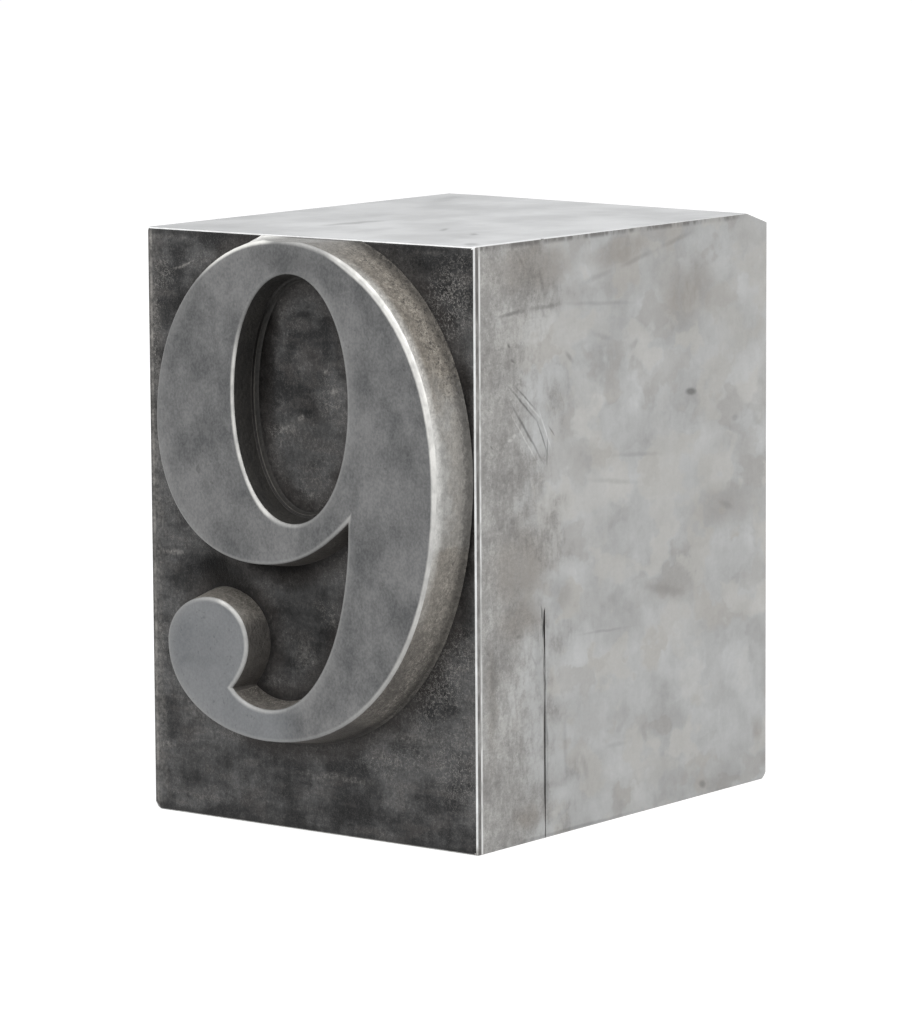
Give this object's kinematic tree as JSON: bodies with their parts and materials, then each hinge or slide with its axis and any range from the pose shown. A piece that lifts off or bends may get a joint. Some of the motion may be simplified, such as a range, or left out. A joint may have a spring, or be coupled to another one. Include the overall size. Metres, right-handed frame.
{
  "type": "lead type block",
  "caption": "Block of display type with a raised figure nine: a cast face plate soldered and anchored flush on a bevelled metal body.",
  "frame": {"origin": "middle of the lower side, on which the block stands with its figure upright", "axes": "+X along the set width towards the figure's right, +Y from the printing face to the foot, +Z along the body towards the figure's head"},
  "size_m": [0.0176, 0.0234, 0.0253],
  "materials": {
    "face_metal": "dark worn cast type metal, the printing face rubbed to a soft grey",
    "solder": "dull solder",
    "body_metal": "satin planed type metal with stains and scratches",
    "anchor_metal": "dull cast metal"
  },
  "bodies": {
    "root": {"figure_plate": "face_metal", "solder_film": "solder", "mount_body": "body_metal", "anchor_plugs": "anchor_metal"}
  },
  "joints": []
}
